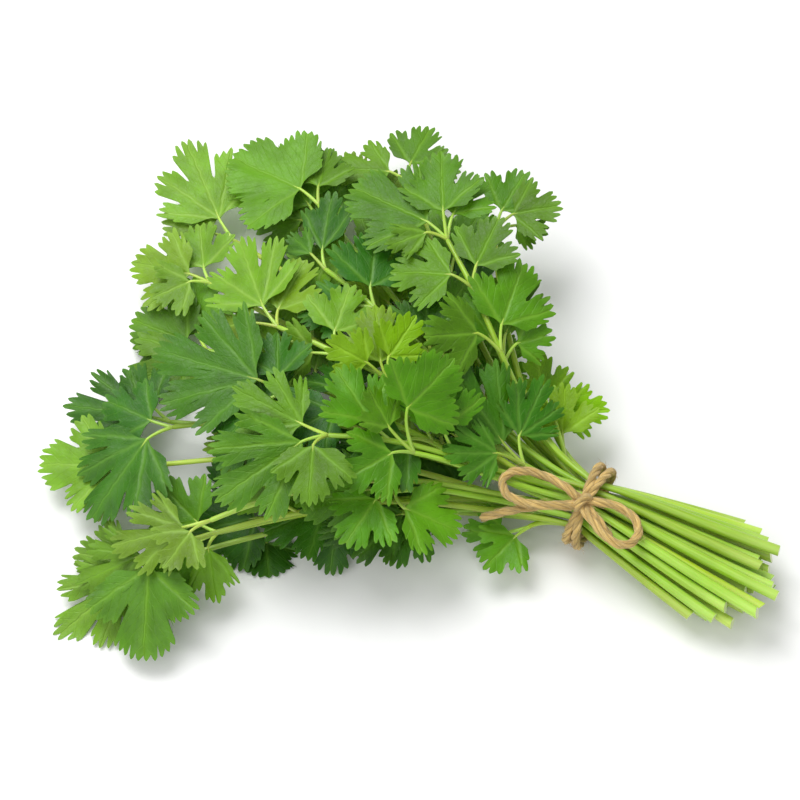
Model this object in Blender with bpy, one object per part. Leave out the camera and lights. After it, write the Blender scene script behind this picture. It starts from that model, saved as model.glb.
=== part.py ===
# A bunch of coriander (Chinese parsley) lying on its side, tied with jute twine.
# The stems run along X: the cut ends point to +X and the leaves fan out toward -X.
# Lengths in this file are millimetres and are scaled to metres when a mesh is made.
import math
import random

import bmesh
import bpy
import numpy as np
from mathutils import Vector
from mathutils.bvhtree import BVHTree

MM = 0.001
SEED = 21

# The bundle at the tie
STEM_PITCH = 3.3
ROW_PITCH = 3.5
STEM_RADIUS = 1.2
BUTT_RADIUS = 2.05
BUTT_LENGTH = 75.0
BUTT_SPREAD = 2.65
STEM_GAP = 0.7
STEM_BEND = 0.42
# A short stem turns out of the bundle sooner than a long one in the same direction
TURN_OUT = 15.0

# Leaflets
LEAF_THICKNESS = 0.75
STALK_RADIUS = 0.75
LEAF_GAP = 0.4
LEAF_TRIES = 60
LARGE_LEAF = 29.0
SMALL_LEAF = 25.0
TOOTH_SPAN = 0.6
VIEW_LEAN = (0.10, -0.24)
NEAT_TILT = 0.10
LOOSE_TILT = 0.24
FAN_SIDES = (-43.0, 47.0)

# How far apart the pairs of leaflets sit on the stems of each row, and how near the tie
PAIR_RULE = {3: (25.0, 35.0), 2: (30.0, 30.0), 1: (44.0, 60.0), 0: (55.0, 65.0),
             -1: (46.0, 60.0), -2: (52.0, 60.0), -3: (200.0, 0.0)}

# Twine
TWINE_RADIUS = 1.85
WRAP_RADIUS = 15.35
FLAT_DEPTH = 0.8

# Outline of each kind of leaflet: half of its spread in degrees, number of lobes, teeth
# on a lobe, reach of the outermost lobes and depth of the clefts as parts of its length
LEAF_KINDS = {
    "round": (100.0, 3, 3, 0.80, 0.15),
    "trefoil": (78.0, 3, 3, 0.84, 0.38),
    "cut": (76.0, 5, 2, 0.66, 0.42),
    "wedge": (46.0, 3, 1, 0.86, 0.24),
}

# The wraps are cut flat where they press on the surface below, which is at height 0
TIE_HEIGHT = WRAP_RADIUS + TWINE_RADIUS - FLAT_DEPTH

TONES = {
    "green": (0.13, 0.32, 0.035),
    "deep": (0.085, 0.25, 0.045),
    "lime": (0.20, 0.40, 0.04),
    "pale": (0.27, 0.45, 0.12),
}

# Every leafy stem: its row in the bundle, how far its top reaches along and across
# the bundle, its tone and its leaflets as bearing in degrees, length and kind.
# A bearing of 0 points away from the tie and turns toward +Y.
# A stem without leaflets listed gets three by rule.
SPRIGS = [
    (3, 27, -2, "deep", ((22, 38, "cut"), (-28, 30, "cut"), (72, 30, "cut"))),
    (3, 62, -26, "green", ((92, 32, "round"), (-60, 24, "trefoil"), (30, 22, "trefoil"))),
    (3, 92, -38, "green", ((-65, 41, "cut"), (-108, 26, "trefoil"), (2, 30, "cut"))),
    (3, 92, 58, "green", ((2, 34, "trefoil"), (62, 27, "trefoil"), (98, 24, "trefoil"),
                          (-48, 18, "wedge"))),
    (2, 117, -25, "deep", ((-8, 47, "cut"), (-70, 26, "trefoil"), (60, 20, "trefoil"))),
    (2, 83, -4, "lime", ((57, 25, "trefoil"), (90, 22, "trefoil"), (5, 24, "trefoil"))),
    (2, 135, 0, "pale", ((42, 36, "cut"), (92, 24, "trefoil"), (-20, 22, "trefoil"))),
    (2, 131, 31, "deep", ((72, 26, "wedge"), (22, 16, "wedge"))),
    (2, 52, 29, "green", ((77, 27, "wedge"), (135, 16, "trefoil"), (25, 24, "trefoil"))),
    (1, 64, -38, "green", ((-38, 28, "trefoil"), (-86, 24, "trefoil"), (168, 26, "trefoil"),
                           (15, 24, "trefoil"))),
    (1, 120, -80, "pale", ((-38, 30, "cut"), (-85, 20, "trefoil"))),
    (1, 154, -50, "deep", ((-78, 40, "cut"), (0, 22, "trefoil"))),
    (1, 17, 13, "lime", ((65, 21, "trefoil"), (15, 16, "trefoil"))),
    (1, 153, 65, "green", ((2, 35, "round"), (75, 20, "trefoil"))),
    (1, 82, 80, "green", ((92, 21, "trefoil"), (140, 21, "trefoil"), (172, 16, "trefoil"))),
    (0, 133, -93, "green", ((-110, 34, "trefoil"), (-50, 28, "cut"))),
    (0, 159, -67, "pale", ((-22, 30, "trefoil"), (-62, 27, "trefoil"))),
    (0, 176, 17, "pale", ((-13, 26, "trefoil"), (57, 22, "trefoil"), (-55, 20, "trefoil"))),
    (0, 178, 39, "pale", ((40, 38, "cut"), (-13, 26, "trefoil"))),
    (0, 97, 32, "lime", ((22, 24, "trefoil"), (80, 22, "trefoil"), (-35, 22, "trefoil"))),
    (0, 28, 24, "lime", ((150, 17, "trefoil"), (45, 21, "trefoil"))),
    (0, 128, 93, "green", ((87, 21, "trefoil"), (-20, 22, "trefoil"), (150, 18, "trefoil"))),
    (-1, 17, -17, "green", ((-28, 24, "trefoil"), (-75, 18, "trefoil"))),
    (-1, 119, -77, "green", ((-123, 22, "wedge"), (-60, 24, "trefoil"), (20, 24, "trefoil"))),
    (-1, 52, -32, "deep", ((-43, 34, "cut"), (-85, 20, "trefoil"), (10, 24, "trefoil"))),
    (-1, 160, -43, "deep", ((-18, 32, "cut"), (30, 22, "trefoil"))),
    (-1, 74, 40, "deep", ((72, 28, "trefoil"), (20, 24, "trefoil"))),
    (-1, 150, 62, "green", ()),
    (-2, 82, -41, "deep", ()),
    (-2, 137, -97, "pale", ((-68, 34, "cut"), (-15, 24, "trefoil"), (-125, 20, "trefoil"))),
    (-2, 165, -6, "green", ()),
    (-2, 138, 74, "pale", ()),
    (-2, 98, 62, "green", ()),
    (-3, 42, -12, "deep", ((-30, 26, "trefoil"), (-85, 20, "trefoil"), (30, 24, "trefoil"))),
    (-3, 106, -55, "deep", ()),
    (-3, 125, 34, "deep", ()),
    (-3, 58, 28, "green", ()),
]


def smooth(part):
    part = min(max(part, 0.0), 1.0)
    return part * part * (3.0 - 2.0 * part)


def bearing_vector(degrees):
    angle = math.radians(degrees)
    return Vector((-math.cos(angle), math.sin(angle), 0.0))


def turned_between(first, second, share):
    """Bearing part of the way from one bearing to another, the short way round."""
    return first + share * ((second - first + 180.0) % 360.0 - 180.0)


def row_height(row, reach):
    """Height of a row of stems at a distance from the tie: the rows open out, then close."""
    lowest = TIE_HEIGHT - 3.0 * ROW_PITCH - 2.9 * smooth((reach - 8.0) / 40.0)
    gap = ROW_PITCH + 5.4 * smooth((reach - 12.0) / 80.0) - 5.1 * smooth((reach - 110.0) / 95.0)
    return lowest + (row + 3) * gap


# Stem paths

def stem_path(row, slot, count, along, across, rng):
    """Points from the cut end, through the tie, to the top where the leaflets start."""
    tie_y = (slot - 0.5 * (count - 1)) * STEM_PITCH
    butt = BUTT_LENGTH * (1.0 - 0.25 * (tie_y / 10.0) ** 2) * (1.0 - 0.05 * max(0, -row))
    butt += rng.uniform(-8.0, 6.0)
    sway = rng.uniform(-0.7, 0.7)
    points = []
    for step in range(8, 0, -1):
        out = butt * step / 8.0
        spread = 1.0 + (BUTT_SPREAD - 1.0) * (out / BUTT_LENGTH) ** 0.9
        height = row_height(row, 0.0) - 3.3 * smooth(out / 65.0)
        points.append(Vector((out, tie_y * spread + sway * step / 8.0, height)))
    hub = Vector((-along, across, 0.0))
    tie = Vector((0.0, tie_y, 0.0))
    span = (hub - tie).length
    arrive = bearing_vector(1.3 * math.degrees(math.atan2(across, along)) + rng.uniform(-8.0, 8.0))
    first = tie + Vector((-0.33 * span, 0.10 * (across - tie_y), 0.0))
    last = hub - arrive * 0.3 * span
    for step in range(21):
        part = step / 20.0
        rest = 1.0 - part
        point = tie * rest ** 3 + first * 3.0 * rest * rest * part
        point += last * 3.0 * rest * part * part + hub * part ** 3
        point.z = row_height(row, math.hypot(point.x, point.y))
        points.append(point)
    return points


def stem_radius(point, top_share):
    """Thick at the cut end, squeezed at the tie, thin at the top."""
    if point.x > 0.0:
        return STEM_RADIUS + (BUTT_RADIUS - STEM_RADIUS) * smooth(point.x / 55.0)
    return STEM_RADIUS + 0.12 * smooth(-point.x / 30.0) - 0.37 * top_share


def spread_stems(paths, radii):
    """Nudge the stems apart wherever two come nearer than their thickness and a small gap."""
    start = np.array([[tuple(point) for point in path] for path in paths])
    need = np.array(radii)
    owner = np.repeat(np.arange(len(paths)), start.shape[1])
    held = np.abs(start[..., 0]) < 5.0
    shift = np.zeros_like(start)
    for _ in range(110):
        flat = (start + shift).reshape(-1, 3)
        width = need.reshape(-1)
        away = flat[:, None, :] - flat[None, :, :]
        distance = np.sqrt((away ** 2).sum(axis=2)) + 1e-6
        lack = width[:, None] + width[None, :] + STEM_GAP - distance
        lack[owner[:, None] == owner[None, :]] = 0.0
        lack = np.clip(lack, 0.0, None)
        push = (away / distance[..., None] * lack[..., None] * 0.3).sum(axis=1)
        shift += push.reshape(start.shape)
        shift[held] = 0.0
        shift[:, 1:-1] = 0.5 * shift[:, 1:-1] + 0.25 * (shift[:, :-2] + shift[:, 2:])
        lowest = need + 0.15
        under = (start + shift)[..., 2] < lowest
        shift[..., 2][under] = (lowest - start[..., 2])[under]
    return [[Vector(point) for point in path] for path in start + shift]


# Tubes for stems, leaf stalks and twine

def tube(points, radii, sides, slant=0.0):
    """Closed tube through the points; slant cuts the first end at an angle."""
    verts = []
    faces = []
    side = None
    last = len(points) - 1
    for index, point in enumerate(points):
        axis = (points[min(index + 1, last)] - points[max(index - 1, 0)]).normalized()
        if side is None:
            side = axis.orthogonal()
        side = (side - axis * side.dot(axis)).normalized()
        other = axis.cross(side)
        for corner in range(sides):
            turn = 2.0 * math.pi * corner / sides
            out = (side * math.cos(turn) + other * math.sin(turn)) * radii[index]
            lean = axis * (out.dot(side) * slant if index == 0 else 0.0)
            verts.append(point + out + lean)
    for index in range(last):
        for corner in range(sides):
            a = index * sides + corner
            b = index * sides + (corner + 1) % sides
            faces.append((a, b, b + sides))
            faces.append((a, b + sides, a + sides))
    for corner in range(1, sides - 1):
        faces.append((0, corner + 1, corner))
        top = last * sides
        faces.append((top, top + corner, top + corner + 1))
    return verts, faces


# Leaf blades

def leaf_rim(kind, length, rng):
    """Tooth tips and notches round a blade as angle and reach, seen from its base."""
    spread, lobes, teeth, side_reach, cleft = LEAF_KINDS[kind]
    teeth = min(teeth, 2) if length < SMALL_LEAF else teeth
    step = 2.0 * spread / lobes
    rim = [(-spread - 4.0, 0.45 * side_reach)]
    for lobe in range(lobes):
        centre = -spread + step * (lobe + 0.5)
        reach = 1.0 - (1.0 - side_reach) * abs(centre) / (spread - 0.5 * step)
        reach *= rng.uniform(0.93, 1.04)
        for tooth in range(teeth):
            place = TOOTH_SPAN * (tooth - 0.5 * (teeth - 1)) / max(1, teeth - 1)
            rim.append((centre + place * step, reach * (1.0 - 0.9 * place * place)))
        if lobe < lobes - 1:
            rim.append((centre + 0.5 * step, reach * (1.0 - cleft) * rng.uniform(0.92, 1.05)))
    rim.append((spread + 4.0, 0.45 * side_reach))
    return [(math.radians(angle), reach) for angle, reach in rim]


def make_leaf(start, base, bearing, normal, length, kind, rng):
    ahead = bearing_vector(bearing)
    ahead = (ahead - normal * ahead.dot(normal)).normalized()
    return {
        "start": start, "base": base, "ahead": ahead, "side": normal.cross(ahead),
        "normal": normal, "length": length, "kind": kind, "rim": leaf_rim(kind, length, rng),
        "droop": rng.uniform(0.02, 0.16), "fold": rng.uniform(0.02, 0.12),
        "wave": rng.uniform(0.02, 0.05), "phase": rng.uniform(-0.5, 0.5),
    }


def blade_point(leaf, angle, reach):
    """Point on the middle surface of a blade, at an angle and a part of its length."""
    spread = math.radians(LEAF_KINDS[leaf["kind"]][0])
    lobes = LEAF_KINDS[leaf["kind"]][1]
    ripple = math.cos(math.pi * lobes * angle / spread + leaf["phase"])
    rise = leaf["fold"] * reach * abs(math.sin(angle)) - leaf["droop"] * reach * reach
    rise += leaf["wave"] * reach * reach * ripple
    flat = leaf["ahead"] * math.cos(angle) + leaf["side"] * math.sin(angle)
    point = leaf["base"] + (flat * reach + leaf["normal"] * rise) * leaf["length"]
    point.z = max(point.z, 0.5 * LEAF_THICKNESS + 0.02)
    return point


def blade_middle(leaf, grow):
    """Points of the middle surface: one inside each lobe of a large blade, then the rim."""
    spread, lobes = LEAF_KINDS[leaf["kind"]][:2]
    step = math.radians(2.0 * spread / lobes)
    inner = []
    if leaf["length"] > LARGE_LEAF:
        inner = [(step * (lobe - lobes // 2), 0.30) for lobe in range(lobes)]
    wider = 1.0 + grow / leaf["length"]
    points = [blade_point(leaf, angle, reach) for angle, reach in inner]
    points += [blade_point(leaf, angle, reach * wider) for angle, reach in leaf["rim"]]
    return points, [angle for angle, _ in inner]


def blade_triangles(rim, inner):
    """Triangles of one face as indices: 0 is the base, then the inner points, then the rim.

    A cleft counts to the lobe after it.
    """
    first = 1 + len(inner)
    last = first + len(rim) - 1
    if not inner:
        return [(0, index, index + 1) for index in range(first, last)]
    near = [min(range(len(inner)), key=lambda i: abs(inner[i] - angle - 0.001)) for angle, _ in rim]
    triangles = [(0, first, 1), (0, len(inner), last)]
    triangles += [(0, index, index + 1) for index in range(1, len(inner))]
    for index in range(len(rim) - 1):
        triangles.append((1 + near[index], first + index, first + index + 1))
        for step in range(near[index], near[index + 1]):
            triangles.append((1 + step, first + index + 1, 2 + step))
    return triangles


def leaflet(leaf, gap=0.0):
    """Blade and stalk as one closed solid, made thicker by a gap on every side.

    The stalk is square with one corner up. Its outer end is the base of the blade, whose
    two faces carry the same triangles.
    """
    radius = STALK_RADIUS + gap
    half = leaf["normal"] * (0.5 * LEAF_THICKNESS + gap)
    axis = (leaf["base"] - leaf["start"]).normalized()
    up = (leaf["normal"] - axis * leaf["normal"].dot(axis)).normalized()
    side = up.cross(axis) * radius
    verts = []
    for point, lift, part in ((leaf["start"], up * radius, 0.9), (leaf["base"], half * 1.3, 1.0)):
        verts += [point + lift * part, point + side * part, point - lift * part, point - side * part]
    faces = [(0, 1, 2), (0, 2, 3)]
    for here in range(4):
        after = (here + 1) % 4
        faces += [(here, here + 4, after + 4), (here, after + 4, after)]
    middle, inner = blade_middle(leaf, gap)
    upper = len(verts) - 1
    lower = upper + len(middle)
    verts += [point + half for point in middle] + [point - half for point in middle]
    for a, b, c in blade_triangles(leaf["rim"], inner):
        faces.append((upper + a if a else 4, upper + b, upper + c))
        faces.append((lower + a if a else 6, lower + c, lower + b))
    first = len(inner) + 1
    last = len(middle)
    for index in range(first, last):
        faces += [(upper + index, lower + index, lower + index + 1),
                  (upper + index, lower + index + 1, upper + index + 1)]
    for corner, index in ((7, first), (5, last)):
        faces += [(4, corner, upper + index), (corner, lower + index, upper + index),
                  (corner, 6, lower + index)]
    return verts, faces


# Finding room for each leaflet

class Shape:
    """A piece already in place, with a search tree and its bounding box."""

    def __init__(self, owner, verts, faces):
        self.owner = owner
        self.faces = faces
        self.tree = BVHTree.FromPolygons([tuple(vert) for vert in verts], faces)
        self.low = [min(vert[axis] for vert in verts) for axis in range(3)]
        self.high = [max(vert[axis] for vert in verts) for axis in range(3)]

    def near(self, other):
        pairs = zip(self.low, self.high, other.low, other.high)
        return all(low <= far and near <= high for low, high, near, far in pairs)

    def meets(self, others):
        return any(self.near(other) and self.tree.overlap(other.tree) for other in others)

    def crosses_itself(self):
        pairs = self.tree.overlap(self.tree)
        return any(set(self.faces[a]).isdisjoint(self.faces[b]) for a, b in pairs)


def blade_normal(base, row, tilt, rng):
    """Across the slope of the row of stems, leaning to the side the bunch is seen from."""
    outward = Vector((base.x, base.y, 0.0))
    reach = outward.length
    slope = (row_height(row + 0.5, reach + 3.0) - row_height(row + 0.5, reach - 3.0)) / 6.0
    normal = Vector((VIEW_LEAN[0] + rng.uniform(-tilt, tilt), VIEW_LEAN[1] + rng.uniform(-tilt, tilt), 1.0))
    return (normal - outward.normalized() * slope * 0.8).normalized()


def place_leaf(owner, row, start, direction, tilt, bearing, length, kind, placed, own, rng):
    """Try the wanted place first, then small turns, tilts and lifts until it fits."""
    stem_bearing = math.degrees(math.atan2(direction.y, -direction.x))
    others = [shape for shape in placed if shape.owner != owner]
    for tries in range(LEAF_TRIES):
        turn = rng.uniform(-0.8, 0.8) * tries
        size = length * (1.0 - 0.009 * tries)
        stalk = 3.5 + 0.16 * size + rng.uniform(0.0, 2.0) + 0.1 * tries
        out = bearing_vector(turned_between(stem_bearing, bearing + turn, 0.65))
        lift = 0.25 + rng.uniform(-0.12, 0.2) + rng.uniform(0.0 if row == 3 else -0.025, 0.025) * tries
        base = start + (out + Vector((0.0, 0.0, lift + direction.z))) * stalk
        base.z = max(base.z, STALK_RADIUS + 0.15)
        normal = blade_normal(base, row, tilt + 0.014 * tries, rng)
        leaf = make_leaf(start, base, bearing + turn, normal, size, kind, rng)
        alone = dict(leaf, start=base - leaf["ahead"])
        if Shape(owner, *leaflet(alone, LEAF_GAP)).meets(own):
            continue
        if Shape(owner, *leaflet(leaf, LEAF_GAP)).meets(others):
            continue
        shape = Shape(owner, *leaflet(leaf))
        if shape.crosses_itself():
            continue
        own.append(Shape(owner, *leaflet(alone)))
        placed.append(shape)
        return leaf
    return None


def stem_point(path, part):
    """Point and direction on the leafy side of a stem, part 1 being its top."""
    place = 8 + part * 20
    index = min(int(place), 27)
    step = path[index + 1] - path[index]
    return path[index] + step * (place - index), step.normalized()


def top_leaves(sprig, path, rng):
    """Leaflets at the top of a stem: start, direction there, tilt, bearing, length and kind."""
    row, along, across, tone, listed = sprig
    top, direction = stem_point(path, 0.995)
    heading = math.degrees(math.atan2(direction.y, -direction.x))
    if not listed:
        turns = (rng.uniform(-12, 12), rng.uniform(52, 74), rng.uniform(-74, -52))
        kinds = [rng.choice(("trefoil", "trefoil", "round")) for _ in turns]
        listed = [(heading + turn, rng.uniform(24, 31), kind) for turn, kind in zip(turns, kinds)]
    return [(top, direction, NEAT_TILT, *leaf) for leaf in listed]


def side_leaves(sprig, path, rng):
    """Pairs of leaflets down a stem, left out where they would leave the fan of the bunch."""
    row, along, across, tone, listed = sprig
    leaves = []
    reach = math.hypot(along, across)
    apart, nearest = PAIR_RULE[row]
    place = reach - apart
    while place > nearest:
        start, ahead = stem_point(path, place / reach)
        heading = math.degrees(math.atan2(ahead.y, -ahead.x))
        for turn in (rng.uniform(42, 80), rng.uniform(-80, -42)):
            length = rng.uniform(22, 29)
            tip = start + bearing_vector(heading + turn) * (length + 7.0)
            if FAN_SIDES[0] < math.degrees(math.atan2(tip.y, -tip.x)) < FAN_SIDES[1]:
                leaves.append((start, ahead, LOOSE_TILT, heading + turn, length, "trefoil"))
        place -= apart
    return leaves


def thin_out(path):
    """Indices of the points that keep the path's shape, the tie always among them."""
    keep = {0, 8, len(path) - 1}
    spans = [(0, 8), (8, len(path) - 1)]
    while spans:
        low, high = spans.pop()
        chord = path[high] - path[low]
        worst = max(range(low, high), key=lambda i: chord.cross(path[i] - path[low]).length)
        if chord.cross(path[worst] - path[low]).length / chord.length > STEM_BEND:
            keep.add(worst)
            spans += [(low, worst), (worst, high)]
    return sorted(keep)


def coarse_stem(path, radii, slant=0.0):
    keep = thin_out(path)
    return tube([path[index] for index in keep], [1.06 * radii[index] for index in keep], 5, slant)


def lay_out(twine_shapes):
    """Stems and leaflets of the whole bunch, none of them crossing another."""
    paths = []
    radii = []
    for index, (row, along, across, tone, listed) in enumerate(SPRIGS):
        peers = [item for item in SPRIGS if item[0] == row]
        peers.sort(key=lambda item: math.atan2(item[2], item[1] - TURN_OUT))
        slot = peers.index(SPRIGS[index])
        path = stem_path(row, slot, len(peers), along, across, random.Random(SEED + index))
        paths.append(path)
        radii.append([stem_radius(point, max(0.0, (step - 8) / 20.0)) for step, point in enumerate(path)])
    paths = spread_stems(paths, radii)
    placed = list(twine_shapes)
    for index, path in enumerate(paths):
        placed.append(Shape(index, *coarse_stem(path, radii[index])))
    draws = [random.Random(SEED + 100 + index) for index in range(len(SPRIGS))]
    leaves = [[] for _ in SPRIGS]
    blades = [[] for _ in SPRIGS]
    for choose in (top_leaves, side_leaves):
        for index, sprig in enumerate(SPRIGS):
            for wanted in choose(sprig, paths[index], draws[index]):
                leaf = place_leaf(index, sprig[0], *wanted, placed, blades[index], draws[index])
                if leaf:
                    leaves[index].append(leaf)
    return [{"path": paths[index], "radii": radii[index], "leaves": leaves[index], "tone": sprig[3],
             "slant": draws[index].uniform(-0.6, 0.6)} for index, sprig in enumerate(SPRIGS)]


# Twine

def twine_paths():
    """Two wraps crossing at the knot, a bow of two loops, two tails and the knot itself."""
    knot_turn = math.radians(28.0)
    knot = Vector((0.0, -WRAP_RADIUS * math.sin(knot_turn), TIE_HEIGHT + WRAP_RADIUS * math.cos(knot_turn)))
    paths = []
    for lean, radius, start in ((2.3, WRAP_RADIUS + 0.25, 0.0), (-2.3, WRAP_RADIUS - 0.05, 0.5)):
        ring = []
        for step in range(18):
            turn = 2.0 * math.pi * (step + start) / 18.0
            angle = turn + knot_turn
            ring.append(Vector((lean * math.sin(turn), -radius * math.sin(angle),
                                TIE_HEIGHT + radius * math.cos(angle))))
        paths.append((ring, True))
    for bearing, length, width, drop in ((-12.0, 31.0, 9.0, -2.2), (188.0, 24.0, 9.0, 1.2)):
        ahead = bearing_vector(bearing)
        side = Vector((-ahead.y, ahead.x, 0.0))
        loop = []
        for step in range(11):
            turn = 2.0 * math.pi * step / 10.0
            far = 0.5 * (1.0 - math.cos(turn))
            bulge = math.sin(turn) * (0.35 + 0.65 * far)
            point = knot + ahead * (length * far) + side * (width * bulge)
            point.z += 1.6 + 1.8 * math.sin(math.pi * min(1.0, far * 1.2)) - drop * far * far
            loop.append(point)
        paths.append((loop[:-1], True))
    for bearing, length, drop in ((-30.0, 38.0, 9.0), (203.0, 16.0, 3.0)):
        ahead = bearing_vector(bearing)
        tail = []
        for step in range(6):
            part = step / 5.0
            point = knot + ahead * (length * part)
            point.z += 0.8 + 1.5 * math.sin(math.pi * part) - drop * part * part
            tail.append(point)
        paths.append((tail, False))
    band = []
    for step in range(8):
        turn = 2.0 * math.pi * step / 8.0
        band.append(knot + Vector((1.2 * math.sin(turn), 2.6 * math.sin(turn), 2.4 + 2.9 * math.cos(turn))))
    paths.append((band, True))
    return paths


def ring_tube(points, radius, sides):
    """Tube round a closed path."""
    verts = []
    faces = []
    count = len(points)
    centre = sum(points, Vector()) / count
    for index, point in enumerate(points):
        axis = (points[(index + 1) % count] - points[index - 1]).normalized()
        side = (point - centre) - axis * (point - centre).dot(axis)
        side = side.normalized()
        other = axis.cross(side)
        for corner in range(sides):
            turn = 2.0 * math.pi * (corner + 0.5) / sides
            verts.append(point + (side * math.cos(turn) + other * math.sin(turn)) * radius)
    for index in range(count):
        for corner in range(sides):
            a = index * sides + corner
            b = index * sides + (corner + 1) % sides
            c = ((index + 1) % count) * sides + corner
            d = ((index + 1) % count) * sides + (corner + 1) % sides
            faces.append((a, b, d))
            faces.append((a, d, c))
    return verts, faces


def twine_tubes(radius, sides):
    parts = []
    for points, closed in twine_paths():
        if closed:
            parts.append(ring_tube(points, radius, sides))
        else:
            parts.append(tube(points, [radius] * len(points), sides))
    return parts


# Solids

def solid(name, verts, faces):
    mesh = bpy.data.meshes.new(name)
    mesh.from_pydata([tuple(Vector(vert) * MM) for vert in verts], [], faces)
    form = bmesh.new()
    form.from_mesh(mesh)
    bmesh.ops.recalc_face_normals(form, faces=form.faces)
    form.to_mesh(mesh)
    form.free()
    obj = bpy.data.objects.new(name, mesh)
    bpy.context.scene.collection.objects.link(obj)
    return obj


def join(name, solids, cut=None):
    """One closed body from overlapping solids; cut, if given, is taken away from it."""
    first, *others = solids
    first.name = name
    group = bpy.data.collections.new(name + "_parts")
    bpy.context.scene.collection.children.link(group)
    for obj in others:
        bpy.context.scene.collection.objects.unlink(obj)
        group.objects.link(obj)
    union = first.modifiers.new("Join", "BOOLEAN")
    union.operation = "UNION"
    union.operand_type = "COLLECTION"
    union.collection = group
    union.solver = "MANIFOLD"
    if cut:
        trim = first.modifiers.new("Trim", "BOOLEAN")
        trim.operation = "DIFFERENCE"
        trim.object = cut
        trim.solver = "MANIFOLD"
    graph = bpy.context.evaluated_depsgraph_get()
    mesh = bpy.data.meshes.new_from_object(first.evaluated_get(graph))
    first.modifiers.clear()
    first.data = mesh
    mesh.materials.clear()
    for obj in others + ([cut] if cut else []):
        bpy.data.objects.remove(obj, do_unlink=True)
    bpy.data.collections.remove(group)
    form = bmesh.new()
    form.from_mesh(mesh)
    bmesh.ops.remove_doubles(form, verts=form.verts, dist=0.004 * MM)
    bmesh.ops.triangulate(form, faces=form.faces)
    form.to_mesh(mesh)
    form.free()
    return first


def plain_material(name, colour, roughness):
    material = bpy.data.materials.new(name)
    material.use_nodes = True
    shader = material.node_tree.nodes["Principled BSDF"]
    shader.inputs["Base Color"].default_value = (*colour, 1.0)
    shader.inputs["Roughness"].default_value = roughness
    shader.inputs["Metallic"].default_value = 0.0
    return material


def sprig_object(name, sprig):
    parts = [solid("stem", *coarse_stem(sprig["path"], sprig["radii"], sprig["slant"]))]
    parts += [solid("leaflet", *leaflet(leaf)) for leaf in sprig["leaves"]]
    return join(name, parts)


def twine_object(parts):
    bottom = TIE_HEIGHT - WRAP_RADIUS - TWINE_RADIUS
    low = bottom - 5.0
    high = bottom + FLAT_DEPTH
    corners = [Vector((x, y, z)) for x in (-20, 20) for y in (-20, 20) for z in (low, high)]
    sides = [(0, 1, 3, 2), (4, 6, 7, 5), (0, 4, 5, 1), (2, 3, 7, 6), (0, 2, 6, 4), (1, 5, 7, 3)]
    cutter = solid("flat", corners, sides)
    return join("twine", [solid("strand", *part) for part in parts], cutter)


def build():
    for obj in list(bpy.data.objects):
        bpy.data.objects.remove(obj, do_unlink=True)
    strands = twine_tubes(TWINE_RADIUS, 5)
    wide = [Shape(-1, *part) for part in twine_tubes(TWINE_RADIUS + 0.1, 5)]
    sprigs = lay_out(wide)
    objects = [twine_object(strands)]
    objects[0].data.materials.append(plain_material("jute", (0.50, 0.32, 0.14), 0.9))
    greens = {tone: plain_material(tone, colour, 0.55) for tone, colour in TONES.items()}
    for index, sprig in enumerate(sprigs):
        obj = sprig_object("sprig_%02d" % (index + 1), sprig)
        obj.data.materials.append(greens[sprig["tone"]])
        objects.append(obj)
    corners = [vert.co for obj in objects for vert in obj.data.vertices]
    middle = [0.5 * (min(c[axis] for c in corners) + max(c[axis] for c in corners)) for axis in (0, 1)]
    lowest = min(c[2] for c in corners)
    for obj in objects:
        for vert in obj.data.vertices:
            vert.co -= Vector((middle[0], middle[1], lowest))
        for face in obj.data.polygons:
            face.use_smooth = False


build()
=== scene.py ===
import math
import random

import bpy
import numpy as np
from mathutils import Matrix, Vector, noise
from mathutils.bvhtree import BVHTree


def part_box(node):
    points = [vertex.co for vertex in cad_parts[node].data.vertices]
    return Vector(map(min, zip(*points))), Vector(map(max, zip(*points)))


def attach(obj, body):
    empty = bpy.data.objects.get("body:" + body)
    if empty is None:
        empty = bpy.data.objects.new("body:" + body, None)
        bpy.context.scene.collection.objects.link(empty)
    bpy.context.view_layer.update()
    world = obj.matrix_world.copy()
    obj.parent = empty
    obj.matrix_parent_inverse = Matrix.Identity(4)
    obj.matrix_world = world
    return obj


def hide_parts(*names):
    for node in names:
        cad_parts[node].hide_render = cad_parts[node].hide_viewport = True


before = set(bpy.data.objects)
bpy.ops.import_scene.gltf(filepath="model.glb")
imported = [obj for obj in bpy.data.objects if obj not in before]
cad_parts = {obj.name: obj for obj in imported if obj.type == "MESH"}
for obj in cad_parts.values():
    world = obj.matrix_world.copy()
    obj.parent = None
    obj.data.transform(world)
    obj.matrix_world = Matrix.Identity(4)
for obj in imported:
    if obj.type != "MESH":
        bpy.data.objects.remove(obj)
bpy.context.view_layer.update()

MM = 0.001
SEED = 21

# The bundle at the tie
STEM_PITCH = 3.3
ROW_PITCH = 3.5
STEM_RADIUS = 1.2
BUTT_RADIUS = 2.05
BUTT_LENGTH = 75.0
BUTT_SPREAD = 2.65
STEM_GAP = 0.7
STEM_BEND = 0.42
SPREAD_ROUNDS = 110
# A short stem turns out of the bundle sooner than a long one in the same direction
TURN_OUT = 15.0
# Steps of a stem from its cut end to the tie, and from the tie to its top
BUTT_STEPS = 8
TOP_STEPS = 20
# Toward the leaves the lowest row sags, and the rows first open out and then close
ROW_SAG = 2.9
ROW_OPENING = 5.4
ROW_CLOSING = 5.1

# Leaflets
LEAF_THICKNESS = 0.75
STALK_RADIUS = 0.75
LEAF_GAP = 0.4
LEAF_TRIES = 60
LARGE_LEAF = 29.0
SMALL_LEAF = 25.0
TOOTH_SPAN = 0.6
VIEW_LEAN = (0.10, -0.24)
NEAT_TILT = 0.10
LOOSE_TILT = 0.24
FAN_SIDES = (-43.0, 47.0)

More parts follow.
